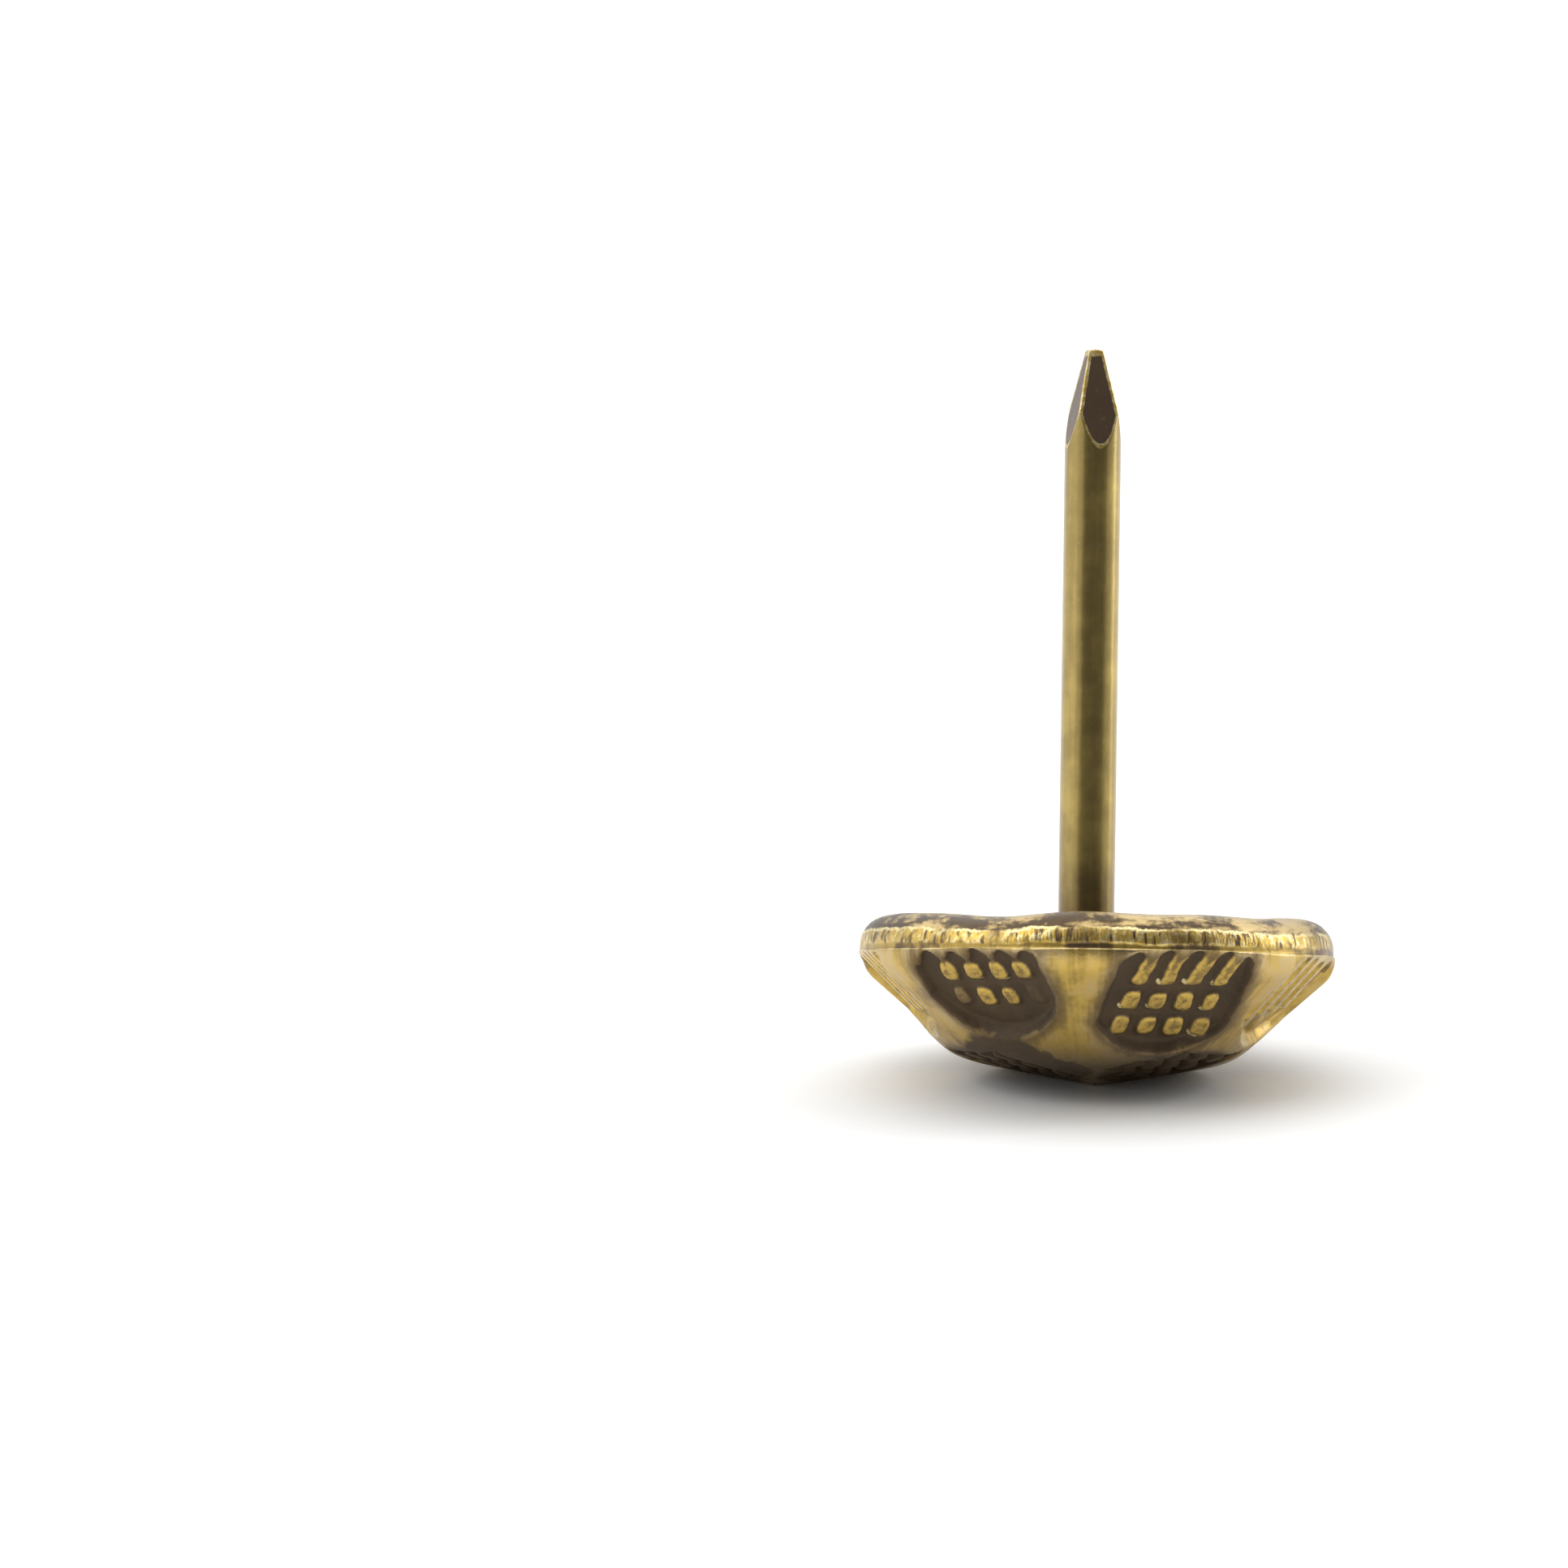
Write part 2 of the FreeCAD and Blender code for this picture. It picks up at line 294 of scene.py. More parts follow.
def pad_top(du, dv, seed, narrow=1.0):
    """Height of one pad, 1 on its top and 0 in the groove, nearness to its middle, and its lower edge."""
    width = PAD_X / 2 * (0.93 + 0.16 * chance(seed, 1.0)) * narrow
    depth = PAD_Y / 2 * (0.88 + 0.16 * chance(seed, 2.0))
    a, b = abs(du) / width, abs(dv) / depth
    reach = (a ** 3 + b ** 3) ** (1 / 3)
    high = ease(1.25 - reach, 0, 0.5)
    heart = max(0.0, 1 - reach)
    # The lower edge is rubbed wear with a painted highlight on it.
    lower = 4 * high * (1 - high) * ease(-dv / depth - 0.25 * du / width, 0.35, 0.9) * chance(seed, 3.0)
    return high, heart, lower


# %% Marks on the crown


class CrownMark(Mark):
    """A flat through the apex. Only whole cells are struck, so the waffle's outline is stepped."""

    def __init__(self, number, azimuth, turn, shift, spread):
        height = CROWN_MARK_AT * math.tan(math.radians(CROWN_FLAT_SLOPE))
        super().__init__(number, azimuth, CROWN_FLAT_SLOPE, CROWN_MARK_AT, height, turn, shift, 0.0)
        self.spread = spread

    def stands(self, column, row):
        x, y = self.spot(column, row)
        return math.hypot(x, y) <= CROWN_MARK_R

    def groove(self, x, y):
        """What the punch left at x and y."""
        u, v = self.pattern(x, y)
        column = round(u / PITCH_X - self.shift)
        row = round((v - self.middle) / PITCH_Y)
        du = u - (column + self.shift) * PITCH_X
        dv = v - self.middle - row * PITCH_Y
        cell = -1.0
        for step_x in (0, 1 if du > 0 else -1):
            for step_y in (0, 1 if dv > 0 else -1):
                if self.stands(column + step_x, row + step_y):
                    side = PITCH_X - PAD_X / 2 - abs(du - step_x * PITCH_X)
                    end = PITCH_Y - PAD_Y / 2 - abs(dv - step_y * PITCH_Y)
                    cell = max(cell, min(side, end))
        high, heart, lower = 0.0, 0.0, 0.0
        if self.stands(column, row):
            high, heart, lower = pad_top(du, dv, column + 9.0 * row + 31.0 * self.number)
        inside = ease(cell, -0.04, 0.06)
        # The dark spread round the mark is patina and painted shade on the underside.
        stain_and_shade = max(inside, 1 - ease(math.hypot(x, y), CROWN_MARK_R + 0.1, CROWN_MARK_R + self.spread))
        return {
            "groove": inside * (1 - high),
            "floor": max(inside * (1 - high * min(1.0, 0.35 + 2.2 * heart)), 0.62 * stain_and_shade),
            "pad": inside * high,
            "heart": inside * heart,
            "glint": inside * lower * 0.5,
            "stain_and_shade": stain_and_shade,
        }


# %% Marks on the band


class BandMark(Mark):
    """A flat sunk into the steep band, with pads below and ribs that run up to the rim."""

    def __init__(self, number, azimuth, turn, shift, middle, rib_from, down, belly, lean, fan, room, dark):
        unstruck = band_start.y + (BAND_FLAT_AT - band_start.x) * math.tan(math.radians(BAND_SLOPE))
        height = unstruck + BAND_FLAT_DEPTH / math.cos(math.radians(BAND_FLAT_SLOPE))
        super().__init__(number, azimuth, BAND_FLAT_SLOPE, BAND_FLAT_AT, height, turn, shift, middle)
        self.rib_from = rib_from
        self.down = down
        self.belly = belly
        self.lean = lean
        self.fan = fan
        self.room = room
        self.dark = dark

    def within(self, x, y):
        """Distance inside the outline, which has no upper side."""
        below = min(y - self.belly + self.down, 0)
        return min(BAND_HALF - abs(x), self.belly - math.hypot(x, below))

    def stands(self, column, row):
        """1 for a full pad, less for one that the edge of the punch only touched."""
        x, y = self.spot(column, row)
        full = ease(self.within(x, y) + max(y, 0) * 0.3, 0.1, self.room)
        return full * 0.55 if self.rib_from == 1.0 and y > 1.2 else full

    def groove(self, x, y):
        """What the punch left at x and y."""
        u, v = self.pattern(x, y)
        rise = max(v - self.rib_from, 0)
        u -= rise * (self.lean + self.fan * u)
        column = round(u / PITCH_X - self.shift)
        row = round((v - self.middle) / PITCH_Y)
        first = row
        while first > -4 and self.spot(column, first - 1)[1] >= self.rib_from:
            first -= 1
        du = u - (column + self.shift) * PITCH_X
        dv = v - self.middle - row * PITCH_Y
        narrow = 1.0
        if self.spot(column, first)[1] >= self.rib_from:
            dv = min(v - self.middle - first * PITCH_Y, 0)
            row = first
            narrow = 1 - 0.2 * ease(dv, -0.2, 0)
        full = self.stands(column, row)
        high, heart, lower = pad_top(du, dv, column + 9.0 * row + 31.0 * self.number, narrow)
        side = 1 if du > 0 else -1
        finger = BAND_UP + 0.16 * (chance(column + side / 2, self.number, 3.0) - 0.5)
        off = PITCH_X / 2 - abs(du)
        top = ease(finger - y - 4.0 * off * off, -0.06, 0.08)
        room = self.within(x, y)
        inside = ease(room - BAND_LEDGE, -0.05, 0.07) * top
        return {
            "groove": inside * (1 - high * full),
            "floor": ease(room, -0.09, 0.06) * top * (1 - high * full) * self.dark,
            "pad": inside * high * full,
            "heart": inside * heart * full,
            "glint": inside * lower * full,
            "stain_and_shade": ease(room, -0.55, 0.0) * ease(BAND_UP - y, -0.5, 0.3) * self.dark,
        }


crown_marks = [CrownMark(number, *mark) for number, mark in enumerate(CROWN_MARKS)]
band_marks = [BandMark(10 + number, *mark) for number, mark in enumerate(BAND_MARKS)]
print("marks", len(crown_marks), "on the crown and", len(band_marks), "on the band")

# %% [markdown]
# ## The head
# Every point of the net is pushed along the normal of the flats that hold it, first to the flat
# and then into the groove. What the punch did there is kept with the point as numbers, and the
# material reads them later: a groove stays dark, a pad is rubbed and an edge is bright.

# %% Strike one point
MARKS_READ = ("groove", "floor", "pad", "heart", "glint", "stain_and_shade")


def strike(point, azimuth, skin, grooved):
    """Point of a skin after all punches, and what they left there."""
    left = dict.fromkeys(MARKS_READ, 0.0)
    wobble = noise.noise(point * 1.7) * 0.05 + noise.noise(point * 5.0) * 0.025
    if grooved:
        # Dark patches on the lower shoulder: patina and painted shade.
        for turn, radius, reach in SHOULDER_PATINA_AND_SHADE:
            away = (point.xy - level(turn).xy * radius).length + 4 * wobble
            left["floor"] = max(left["floor"], 0.85 * (1 - ease(away, reach - 0.5, reach)))
    for mark in crown_marks:
        x, y, high = mark.local(point)
        if high + skin < -0.6:
            continue
        point = point - mark.out * over(high + skin, 0.03)
        if grooved and math.hypot(x, y) < CROWN_MARK_R + max(mark.spread, PITCH_Y):
            found = mark.groove(x + wobble, y - wobble)
            point = point - mark.out * (CROWN_GROOVE * found["groove"])
            for name in MARKS_READ:
                left[name] = max(left[name], found[name])
    for mark in band_marks:
        turn = (azimuth - mark.azimuth + 180) % 360 - 180
        if abs(turn) > BAND_REACH:
            continue
        x, y, high = mark.local(point)
        room = mark.within(x + wobble, y + wobble)
        if room < -0.6:
            continue
        sunk = over(high + skin, 0.02) * ease(room, -0.07, 0.07)
        point = point - mark.out * sunk
        if grooved:
            touched = ease(high, -0.03, 0.02)
            found = mark.groove(x + wobble, y - wobble)
            point = point - mark.out * (BAND_GROOVE * found["groove"] * touched)
            for name in MARKS_READ:
                share = 1.0 if name == "stain_and_shade" else touched
                left[name] = max(left[name], found[name] * share)
    return point, left


# %% Net of the head
AROUND = 640


def net_faces(rows, around):
    """Quads between the rows of a net, and a fan to a pole at each end."""
    faces = []
    for row in range(rows - 1):
        for i in range(around):
            j = (i + 1) % around
            here, above = row * around, (row + 1) * around
            faces.append((here + i, here + j, above + j, above + i))
    first, last = rows * around, rows * around + 1
    end = (rows - 1) * around
    for i in range(around):
        j = (i + 1) % around
        faces.append((first, j, i))
        faces.append((last, end + i, end + j))
    return faces


def make_head():
    """Closed net of the head, with what the punches left stored at its points."""
    points = []
    drawn = []
    left = {name: [] for name in MARKS_READ + ("inside",)}

    def add(point, azimuth, skin, grooved, inside):
        drawn.append(point)
        wave = RIM_WAVE * noise.noise(level(azimuth) * 2.3)
        for middle, reach, depth in RIM_DIPS:
            wave -= depth * (1 - ease(abs((azimuth - middle + 180) % 360 - 180), 0, reach))
        point = point + UP * (wave * ease(point.z, EDGE_Z - 0.3, LIP_TOP))
        moved, marks = strike(point, azimuth, skin, grooved) if skin is not None else (point, {})
        points.append(placed(moved))
        for name in MARKS_READ:
            left[name].append(marks.get(name, 0.0))
        left["inside"].append(inside)

    rows = [(row, 0.0, True, 0.0) for row in outer_rows]
    rows += [(row, 0.0, True, 0.0) for row in rim[:5]]
    rows += [(row, None, False, 0.0) for row in rim[5:]]
    rows += [(row, None, False, min(1.0, i / 2)) for i, row in enumerate(mouth)]
    rows += [(row, SHEET, False, 1.0) for row in inner_rows]
    for row, skin, grooved, inside in rows:
        for i in range(AROUND):
            azimuth = 360 * i / AROUND
            add(level(azimuth) * row.x + UP * row.y, azimuth, skin, grooved, inside)
    add(Vector((0, 0, 0)), 0, None, False, 0.0)
    add(Vector((0, 0, SHEET)), 0, None, False, 1.0)
    mesh = bpy.data.meshes.new("struck_head")
    mesh.from_pydata(points, [], net_faces(len(rows), AROUND))
    for name, values in left.items():
        mesh.attributes.new(name, "FLOAT", "POINT").data.foreach_set("value", values)
    flat = [value for point in drawn for value in point]
    mesh.attributes.new("drawn", "FLOAT_VECTOR", "POINT").data.foreach_set("vector", flat)
    mesh.shade_smooth()
    piece = bpy.data.objects.new("struck_head", mesh)
    bpy.context.scene.collection.objects.link(piece)
    return piece


struck_head = make_head()
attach(struck_head, "root")
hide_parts("head")
print("head triangles", sum(len(face.vertices) - 2 for face in struck_head.data.polygons))

# %% [markdown]
# ## The shank
# The wire is round until a cutter takes four slanting facets off its end. A net works here too:
# at each height the radius is the least of the wire, its domed end and the four facets. Columns of
# the net lie exactly on the four ridges, so that they stay crisp.

# %% Net of the shank
WIRE_AROUND = 160


def make_shank():
    """Closed net of the wire, from inside the sheet up to the point."""
    rows = [Vector((NUGGET_R, height)) for height in (NUGGET_FOOT, NUGGET_TOP - 0.1, NUGGET_TOP)]
    rows += bow(Vector((NUGGET_R, NUGGET_TOP + WELD_FILLET)), WELD_FILLET, 0, -90, 12)[1:]
    start = rows[-1].y
    cut = OVERALL - POINT_LENGTH
    dome = OVERALL - WIRE_R
    low = cut - 2 * CUT_EARLY
    rows += [Vector((WIRE_R, start + (low - start) * i / 30)) for i in range(1, 31)]
    rows += [Vector((WIRE_R, low + (dome - low) * i / 80)) for i in range(1, 81)]
    rows += bow(Vector((0, dome)), WIRE_R, 90, 178, 30)[1:]
    lean = (WIRE_R - POINT_TIP) / (POINT_LENGTH + CUT_EARLY)
    points = []
    left = {"ridge": [], "cut": []}
    for row in rows:
        sunk = max(row.y - cut + CUT_EARLY, 0) * lean
        tip = OVERALL - row.y
        for i in range(WIRE_AROUND):
            azimuth = POINT_TURN + 45 + 360 * i / WIRE_AROUND
            sides = []
            for side in range(4):
                across = math.cos(math.radians(azimuth - POINT_TURN - 90 * side))
                sides.append((WIRE_R - sunk) / across if row.y > cut - 0.6 and across > 0.1 else 9.0)
            sides.sort()
            radius = row.x - over(row.x - sides[0], 0.006)
            if 0 < tip < TIP_HIGH:
                radius = min(radius, TIP_WIDE * math.sqrt(1 - (1 - tip / TIP_HIGH) ** 2))
            point = level(azimuth) * radius + UP * row.y
            point.x -= SHANK_OFFSET
            points.append(placed(point))
            deep = row.x - sides[0]
            rounded = ease(deep, 0.0, 0.004) * (1 - ease(deep, 0.010, 0.034))
            straight = (1 - ease(sides[1] - sides[0], 0.04, 0.20)) * ease(deep, 0.0, 0.01)
            left["ridge"].append(max(rounded, straight, 1 - ease(tip, 0.05, 0.25)))
            left["cut"].append(ease(row.x - sides[0], 0.0, 0.03))
    points.append(placed(Vector((-SHANK_OFFSET, 0, rows[0].y))))
    points.append(placed(Vector((-SHANK_OFFSET, 0, OVERALL))))
    mesh = bpy.data.meshes.new("pointed_wire")
    mesh.from_pydata(points, [], net_faces(len(rows), WIRE_AROUND))
    for name, values in left.items():
        mesh.attributes.new(name, "FLOAT", "POINT").data.foreach_set("value", values + [0.0, 1.0])
    mesh.shade_smooth()
    piece = bpy.data.objects.new("pointed_wire", mesh)
    bpy.context.scene.collection.objects.link(piece)
    return piece


pointed_wire = make_shank()
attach(pointed_wire, "root")
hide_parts("shank")
print("shank triangles", sum(len(face.vertices) - 2 for face in pointed_wire.data.polygons))

# %% [markdown]
# ## Shader sums in Python
# A material is a graph of nodes, and a graph of sums is hard to read as a list of links. So a
# socket is wrapped in a small class whose operators add the nodes: `1 - mask` makes a Math node.
# Colours go through Mix nodes and vectors through Vector Math, because Math turns them grey.

# %% A socket that can be used in sums


class Line:
    """A node's output that adds nodes when it is used in Python sums."""

    def __init__(self, tree, socket):
        self.tree = tree
        self.socket = socket

    @classmethod
    def node(cls, tree, kind, settings=None, sockets=None, out=0):
        """Output of a new node, after its settings and then its sockets' values or links."""
        node = tree.nodes.new(kind)
        for name, value in (settings or {}).items():
            setattr(node, name, value)
        for name, value in (sockets or {}).items():
            if isinstance(value, Line):
                tree.links.new(value.socket, node.inputs[name])
            else:
                node.inputs[name].default_value = value
        return cls(tree, node.outputs[out])

    def join(self, operation, a, b):
        """a and b through the node that suits their kind."""
        kinds = {side.socket.type for side in (a, b) if isinstance(side, Line)}
        if "RGBA" in kinds:
            a, b = [(side, side, side, 1) if isinstance(side, (int, float)) else side for side in (a, b)]
            settings = {"data_type": "RGBA", "blend_type": operation}
            return self.node(self.tree, "ShaderNodeMix", settings, {0: 1.0, 6: a, 7: b}, 2)
        if "VECTOR" in kinds:
            a, b = [(side, side, side) if isinstance(side, (int, float)) else side for side in (a, b)]
            return self.node(self.tree, "ShaderNodeVectorMath", {"operation": operation}, {0: a, 1: b})
        return self.node(self.tree, "ShaderNodeMath", {"operation": operation}, {0: a, 1: b})

    def __add__(self, other):
        return self.join("ADD", self, other)

    def __radd__(self, other):
        return self.join("ADD", other, self)

    def __sub__(self, other):
        return self.join("SUBTRACT", self, other)

    def __rsub__(self, other):
        return self.join("SUBTRACT", other, self)

    def __mul__(self, other):
        return self.join("MULTIPLY", self, other)

    def __rmul__(self, other):
        return self.join("MULTIPLY", other, self)

    def __abs__(self):
        return self.node(self.tree, "ShaderNodeMath", {"operation": "ABSOLUTE"}, {0: self})


# %% Small shader helpers


def step(value, low, high):
    """0 below low, 1 above high and a smooth step between, as a node."""
    settings = {"interpolation_type": "SMOOTHSTEP"}
    sockets = {"Value": value, "From Min": low, "From Max": high}
    return Line.node(value.tree, "ShaderNodeMapRange", settings, sockets)


def blend(factor, a, b):
    """Colour a where factor is 0, and b where it is 1."""
    settings = {"data_type": "RGBA", "clamp_factor": True}
    a, b = [(*side, 1) if isinstance(side, tuple) else side for side in (a, b)]
    return Line.node(factor.tree, "ShaderNodeMix", settings, {0: factor, 6: a, 7: b}, 2)


def grain(vector, scale, detail=2.0, rough=0.5):
    """Noise from 0 to 1 at so many features a millimetre."""
    sockets = {"Vector": vector, "Scale": scale, "Detail": detail, "Roughness": rough}
    return Line.node(vector.tree, "ShaderNodeTexNoise", {"noise_dimensions": "3D"}, sockets, "Fac")


def stored(tree, name, out="Fac"):
    """Numbers that were stored at the points of the net."""
    return Line.node(tree, "ShaderNodeAttribute", {"attribute_name": name}, None, out)


def parts_of(vector):
    """The x, y and z of a vector."""
    split = Line.node(vector.tree, "ShaderNodeSeparateXYZ", None, {"Vector": vector}).socket.node
    return [Line(vector.tree, split.outputs[i]) for i in range(3)]


def vector_of(tree, x, y, z):
    """A vector from three numbers or lines."""
    return Line.node(tree, "ShaderNodeCombineXYZ", None, {0: x, 1: y, 2: z})


def new_finish(name):
    """An empty material, its tree and its shader."""
    finish = bpy.data.materials.new(name)
    finish.use_nodes = True
    tree = finish.node_tree
    return finish, tree, tree.nodes["Principled BSDF"]


def feed(tree, shader, name, line):
    """Link a line to one of the shader's sockets."""
    tree.links.new(line.socket, shader.inputs[name])


def coat_finish(piece, finish):
    """Give a piece its one material."""
    piece.data.materials.clear()
    piece.data.materials.append(finish)


# %% [markdown]
# ## Antique brass on the head
# The real head is brass plated, darkened all over and then tumbled, which rubs the dark patina off
# the high places only. One picture of dirt would do, but it would not follow the marks. Here the
# numbers stored by the punches say what is high and what is low, and noise breaks up the edges.
# Light is painted in as well: painted highlights along the rim and on the pads' lower edges,
# and painted shade, mixed with the patina, on the underside.

# %% Head material
GOLD = (0.60, 0.405, 0.084)
CREAM = (0.84, 0.70, 0.36)
SAND = (0.54, 0.42, 0.24)
OLIVE = (0.27, 0.185, 0.052)
BROWN = (0.125, 0.078, 0.036)
PATINA = (0.040, 0.027, 0.013)


def head_finish():
    """Rubbed brass over a dark patina, read from the marks, with painted highlights and painted shade."""
    finish, tree, shader = new_finish("antique_brass")
    drawn = stored(tree, "drawn", "Vector")
    x, y, z = parts_of(drawn)
    floor, pad, heart, glint, stain_and_shade, inside = [
        stored(tree, name) for name in ("floor", "pad", "heart", "glint", "stain_and_shade", "inside")
    ]
    flat = vector_of(tree, x, y, 0.0)
    length = Line.node(tree, "ShaderNodeVectorMath", {"operation": "LENGTH"}, {0: flat}, "Value")
    around = Line.node(tree, "ShaderNodeVectorMath", {"operation": "NORMALIZE"}, {0: flat}) * HEAD_R

    mottle = grain(drawn, 0.9, 3.0, 0.6)
    speckle = grain(drawn, 6.0, 3.0, 0.65)
    pits = grain(drawn, 13.0, 2.0, 0.5)
    brushed = grain(around + vector_of(tree, 0.0, 0.0, length * 0.15), 4.0, 3.0, 0.6)

    rubbed = mottle * 0.55 + brushed * 0.5 + speckle * 0.2 - stain_and_shade * 0.28
    colour = blend(step(rubbed, 0.38, 0.66), OLIVE, GOLD)
    colour = blend(step(mottle + brushed * 0.3, 0.60, 0.85) * 0.55, colour, SAND)
    # Painted highlight: a lighter band just under the edge of the rim.
    under_rim_highlight = step(z, EDGE_Z - 0.45, EDGE_Z - 0.05)
    colour = blend(under_rim_highlight * step(brushed, 0.35, 0.6) * 0.5, colour, SAND)
    # Brown where the marks left stain and painted shade.
    colour = blend(step(stain_and_shade + speckle * 0.5 - brushed * 0.4, 0.55, 1.1) * 0.7, colour, BROWN)
    pad_metal = blend(step(speckle + heart * 0.25 - mottle * 0.2, 0.42, 0.72) * 0.7, GOLD, BROWN)
    # Painted shade: darker towards the apex, on the underside that faces the floor.
    colour = blend((1 - step(z, 0.4, 1.5)) * 0.6, colour, BROWN)
    colour = blend(pad * (1 - step(floor, 0.1, 0.5)), colour, pad_metal)
    # Patina in the grooves; these numbers also carry the painted shade of the shoulder patches and round the
    # crown marks.
    dark = step(floor + (speckle - 0.5) * 0.45, 0.12, 0.62)
    colour = blend(dark, colour, blend(mottle, PATINA, BROWN))
    # Painted highlight, with some rubbed wear: cream on the lower edges of the pads.
    colour = blend(step(glint + speckle * 0.35, 0.45, 0.85), colour, CREAM)

    wave = grain(around, 1.6, 2.0, 0.5)
    high = z - EDGE_Z + (wave - 0.5) * 0.16 + (speckle - 0.5) * 0.06
    lines = grain(around + vector_of(tree, 0.0, 0.0, z * 0.3), 6.5, 2.0, 0.6)
    dull = step(mottle * 0.7 + brushed * 0.3, 0.40, 0.55)
    smooth_band = blend(dull, BROWN, blend(brushed, OLIVE, GOLD))
    torn_band = blend(step(lines, 0.34, 0.50), BROWN, blend(step(speckle, 0.45, 0.65), GOLD, CREAM))
    trim = blend(step(high, 0.10, 0.18), smooth_band, blend(dull * 0.6 + 0.4, smooth_band, torn_band))
    streak = grain(around + vector_of(tree, 0.0, 0.0, z * 4.0), 0.85, 4.0, 0.62)
    smear = step(streak * 0.8 + speckle * 0.2 + step(high, 0.60, 0.85) * 0.05, 0.47, 0.62)
    lip = blend(smear, blend(speckle, PATINA, BROWN), blend(streak, GOLD, SAND))
    lip = blend(step(high + speckle * 0.2 + streak * 0.3, 0.98, 1.12) * 0.6, lip, SAND)
    colour = blend(step(z, EDGE_Z - 0.004, EDGE_Z + 0.012), colour, trim)
    colour = blend(step(high, 0.46, 0.52), colour, lip)
    # Painted highlight: a bright wavy line along the top of the torn band.
    wavy_highlight = 1 - step(abs(high + (speckle - 0.5) * 0.12 - 0.47), 0.015, 0.055)
    colour = blend(wavy_highlight * dull, colour, CREAM)
    # Painted highlight: a thin cream line along the edge of the rim.
    rim_highlight = 1 - step(abs(z - EDGE_Z + 0.004), 0.008, 0.022)
    colour = blend(rim_highlight * step(brushed, 0.3, 0.6) * 0.6, colour, CREAM)
    colour = blend(inside * 0.85, colour, blend(step(mottle + brushed * 0.4, 0.5, 0.9), BROWN, OLIVE))

    feed(tree, shader, "Base Color", colour)
    feed(tree, shader, "Roughness", 0.34 + dark * 0.25 + pits * 0.12 + inside * 0.15)
    feed(tree, shader, "Metallic", 1 - dark * 0.5)
    feed(tree, shader, "Coat Weight", 0.4 - dark * 0.3 - inside * 0.1)
    shader.inputs["Coat Roughness"].default_value = 0.35
    torn = step(high, 0.10, 0.18) * (1 - step(high, 0.46, 0.52))
    relief = speckle * 0.6 + brushed * 0.5 + pits * 0.3 + lines * torn * 1.8
    bump = Line.node(tree, "ShaderNodeBump", None, {"Strength": 0.5, "Distance": 0.00004, "Height": relief})
    feed(tree, shader, "Normal", bump)
    return finish


coat_finish(struck_head, head_finish())

# %% [markdown]
# ## Drawn wire
# The shank was drawn through a die, which leaves faint lines along it, and then went through the
# same bath as the head. It is painted darker near the head, as painted shade where it rises out of
# the cup, and the cut facets show short marks across them where the cutter sheared the wire.

# %% Shank material
WIRE_GOLD = (0.46, 0.34, 0.10)
WIRE_OLIVE = (0.33, 0.24, 0.075)
WIRE_PINK = (0.52, 0.40, 0.26)
SHEARED = (0.13, 0.082, 0.055)


def wire_finish():
    """Drawn brass wire, with painted shade towards the head."""
    finish, tree, shader = new_finish("drawn_brass")
    place = Line.node(tree, "ShaderNodeTexCoord", None, None, "Object") * (1 / MM)
    angle = LEAN.inverted().to_euler()
    upright = Line.node(tree, "ShaderNodeMapping", {"vector_type": "POINT"}, {"Vector": place - tuple(APEX)})
    upright.socket.node.inputs["Rotation"].default_value = angle
    x, y, z = parts_of(upright)
    drawn = vector_of(tree, x, y, z * 0.06)
    lines = grain(drawn, 6.0, 2.0, 0.6)
    speckle = grain(upright, 6.0, 3.0, 0.65)
    stain_and_shade = grain(upright, 0.9, 3.0, 0.6)
    ridge, cut = stored(tree, "ridge"), stored(tree, "cut")
    colour = blend(step(lines * 0.3 + stain_and_shade * 0.7, 0.40, 0.65), WIRE_OLIVE, WIRE_GOLD)
    colour = blend(step(speckle, 0.60, 0.75) * 0.35, colour, WIRE_PINK)
    # Painted shade: darker towards the head, where the shank rises out of the cup.
    shade_near_head = 1 - step(z + stain_and_shade * 2.0, 3.6, 8.0)
    colour = blend(shade_near_head * 0.8, colour, BROWN)
    colour = blend(cut * step(lines + speckle * 0.4, 0.30, 0.60) * 0.95, colour, SHEARED)
    bright = blend(step(speckle, 0.40, 0.60), GOLD, CREAM)
    colour = blend(step(ridge + (speckle - 0.5) * 0.7, 0.25, 0.55), colour, bright)
    feed(tree, shader, "Base Color", colour)
    feed(tree, shader, "Roughness", 0.24 + stain_and_shade * 0.10 + cut * 0.12)
    shader.inputs["Metallic"].default_value = 1.0
    shader.inputs["Coat Weight"].default_value = 0.5
    shader.inputs["Coat Roughness"].default_value = 0.2
    sockets = {"Strength": 0.25, "Distance": 0.00003, "Height": lines * (0.4 + cut) + speckle * 0.5}
    feed(tree, shader, "Normal", Line.node(tree, "ShaderNodeBump", None, sockets))
    return finish


coat_finish(pointed_wire, wire_finish())

# %% [markdown]
# ## Floor, light and camera
# The tack stands on a pale floor in soft light from all round, so metal shows only what it
# reflects: a white room, with a darker place where the photographer stands. The camera has a long
# lens, so the head looks nearly as flat as in a drawing.

# %% Floor
FLOOR_HALF = 1.2


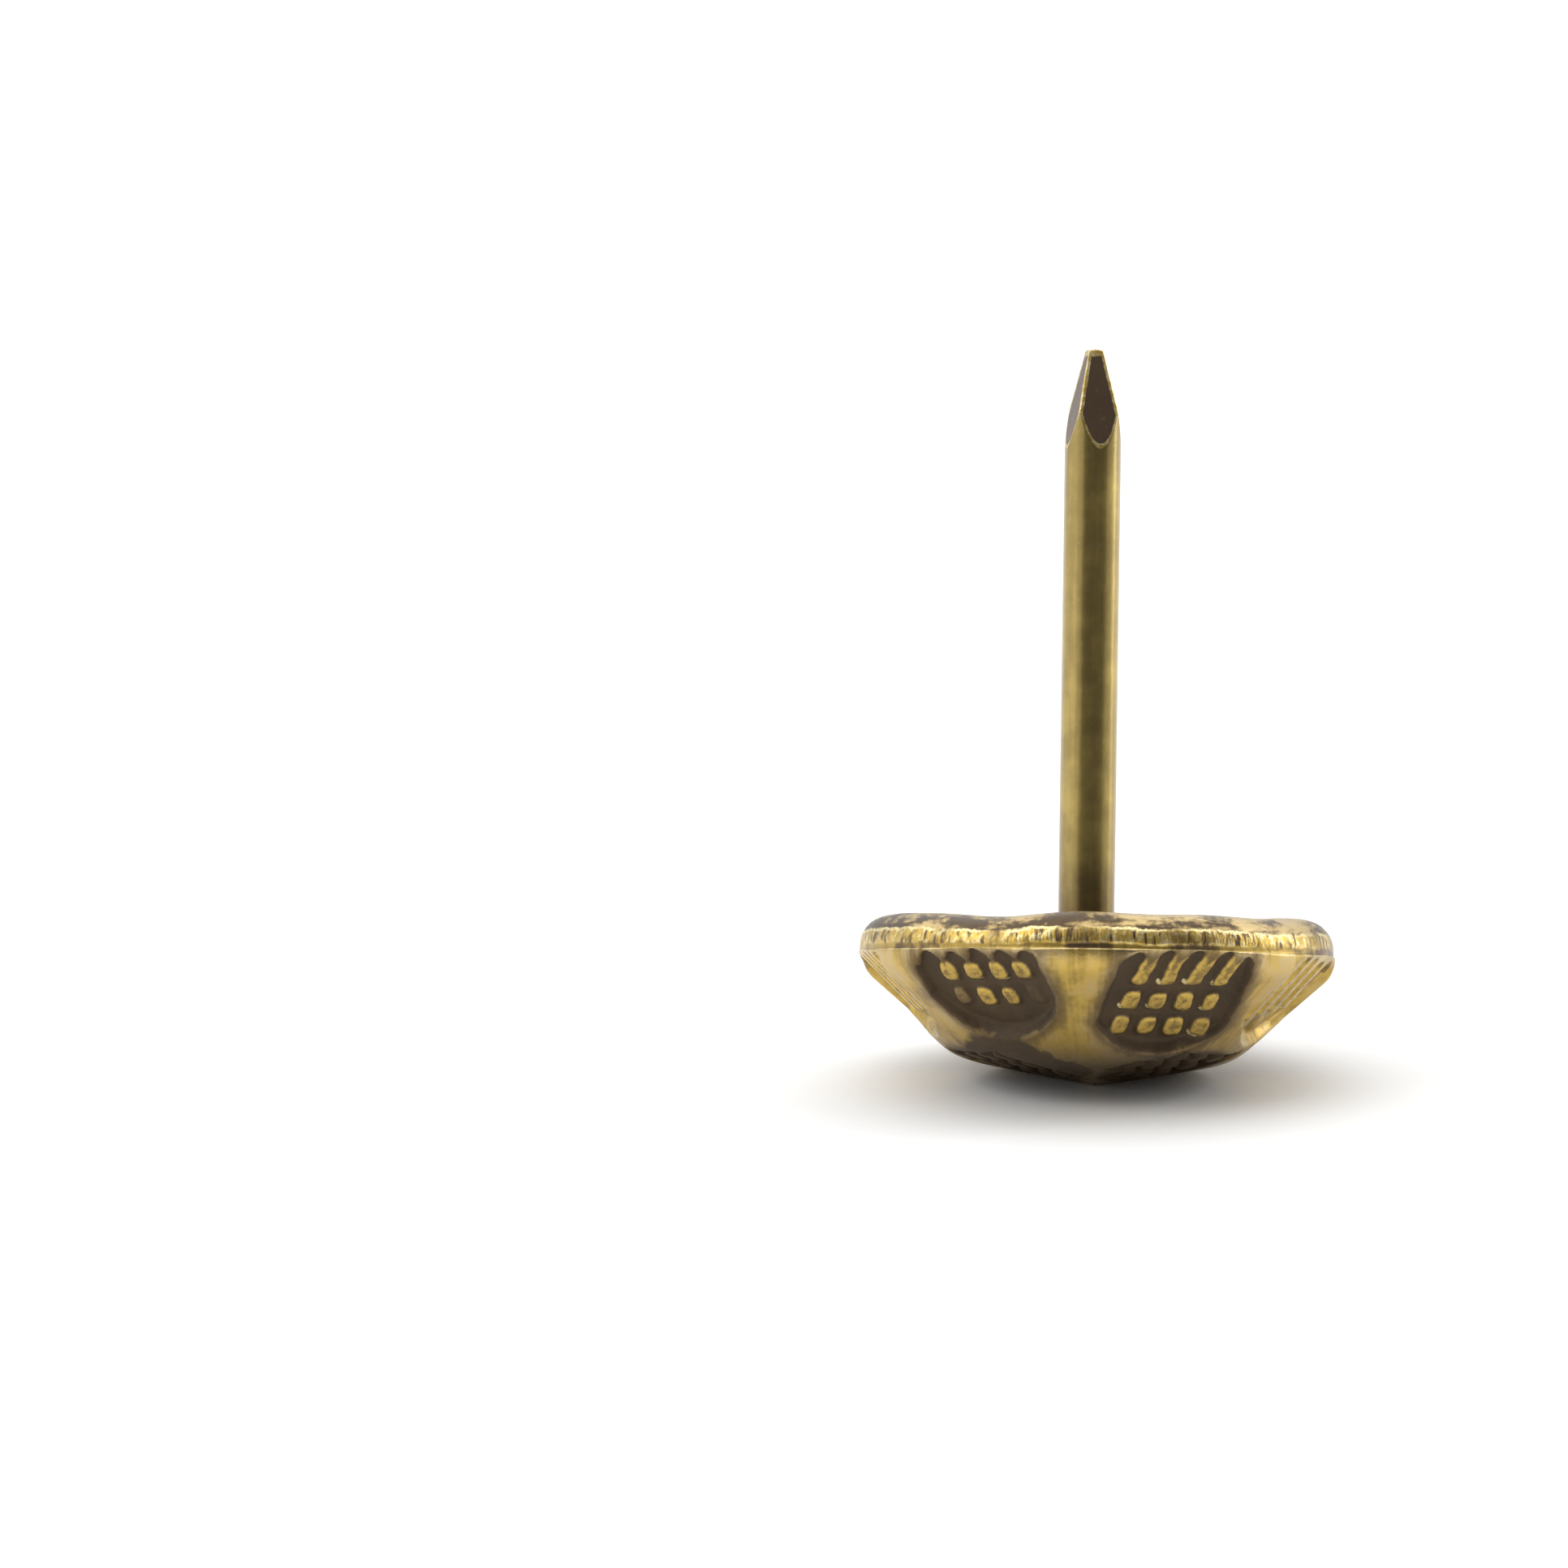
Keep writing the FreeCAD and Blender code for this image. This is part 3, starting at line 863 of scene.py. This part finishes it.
def make_floor():
    """A wide pale sheet under the tack."""
    corners = [(x * FLOOR_HALF, y * FLOOR_HALF, 0) for x, y in ((-1, -1), (1, -1), (1, 1), (-1, 1))]
    mesh = bpy.data.meshes.new("floor")
    mesh.from_pydata(corners, [], [(0, 1, 2, 3)])
    floor = bpy.data.objects.new("floor", mesh)
    bpy.context.scene.collection.objects.link(floor)
    finish, tree, shader = new_finish("pale_paper")
    place = Line.node(tree, "ShaderNodeTexCoord", None, None, "Object") * (1 / MM)
    fibre = grain(place, 0.4, 3.0, 0.6)
    feed(tree, shader, "Base Color", blend(fibre, (0.90, 0.90, 0.895), (0.93, 0.93, 0.925)))
    shader.inputs["Roughness"].default_value = 0.8
    shader.inputs["Specular IOR Level"].default_value = 0.2
    coat_finish(floor, finish)


make_floor()

# %% Light
WORLD_LOW = 0.58
WORLD_HIGH = 1.15
WORLD_SIDES = 0.5


def make_world():
    """White room with a darker front."""
    world = bpy.data.worlds.new("white_room")
    bpy.context.scene.world = world
    world.use_nodes = True
    tree = world.node_tree
    way = Line.node(tree, "ShaderNodeTexCoord", None, None, "Generated")
    x, y, z = parts_of(way)
    facing_front = x * 0.45 - y * 0.89
    front = step(facing_front, 0.25, 0.48)
    overhead = step(z, 0.0, 0.8)
    sides = step(abs(x), 0.80, 0.95)
    shade = (WORLD_LOW + overhead * WORLD_HIGH) * (1 - front * 0.85) + sides * WORLD_SIDES
    tree.nodes["Background"].inputs["Color"].default_value = (1, 1, 1, 1)
    tree.links.new(shade.socket, tree.nodes["Background"].inputs["Strength"])


def add_softbox(name, place, width, height, power):
    """A soft light that faces the tack."""
    light = bpy.data.lights.new(name, "AREA")
    light.shape = "RECTANGLE"
    light.size = width
    light.size_y = height
    light.energy = power
    lamp = bpy.data.objects.new(name, light)
    lamp.location = place
    lamp.rotation_euler = (-Vector(place)).to_track_quat("-Z", "Y").to_euler()
    bpy.context.scene.collection.objects.link(lamp)


make_world()
add_softbox("softbox_left", (-0.25, -0.12, 0.22), 0.16, 0.16, 0.12)
add_softbox("strip_right", (0.29, 0.085, 0.12), 0.03, 0.22, 0.20)
bpy.context.scene.view_settings.view_transform = "Standard"

# %% Camera
PICTURE = 1932
PIXEL_MM = 0.01874
ELEVATION = math.radians(10.3)
TACK_FOOT = 1337
TACK_MIDDLE = 1350.5
LENS = 300.0


def add_camera():
    """Camera that sees the tack as large and as far from the middle as the photograph does."""
    sin, cos = math.sin(ELEVATION), math.cos(ELEVATION)
    foot = min(vertex.co.y * sin + vertex.co.z * cos for vertex in struck_head.data.vertices)
    x = (PICTURE / 2 - TACK_MIDDLE) * PIXEL_MM * MM
    rise = foot + (TACK_FOOT - PICTURE / 2) * PIXEL_MM * MM
    camera = bpy.data.cameras.new("camera")
    camera.lens = LENS
    camera.clip_start = 0.01
    distance = PICTURE * PIXEL_MM * MM * LENS / camera.sensor_width
    seen = bpy.data.objects.new("camera", camera)
    seen.location = Vector((x, rise * sin, rise * cos)) + distance * Vector((0, -cos, sin))
    seen.rotation_euler = (math.pi / 2 - ELEVATION, 0, 0)
    bpy.context.scene.collection.objects.link(seen)
    bpy.context.scene.camera = seen
    print("camera is", round(distance, 4), "m away, foot at", round(foot / MM, 4), "mm")


add_camera()
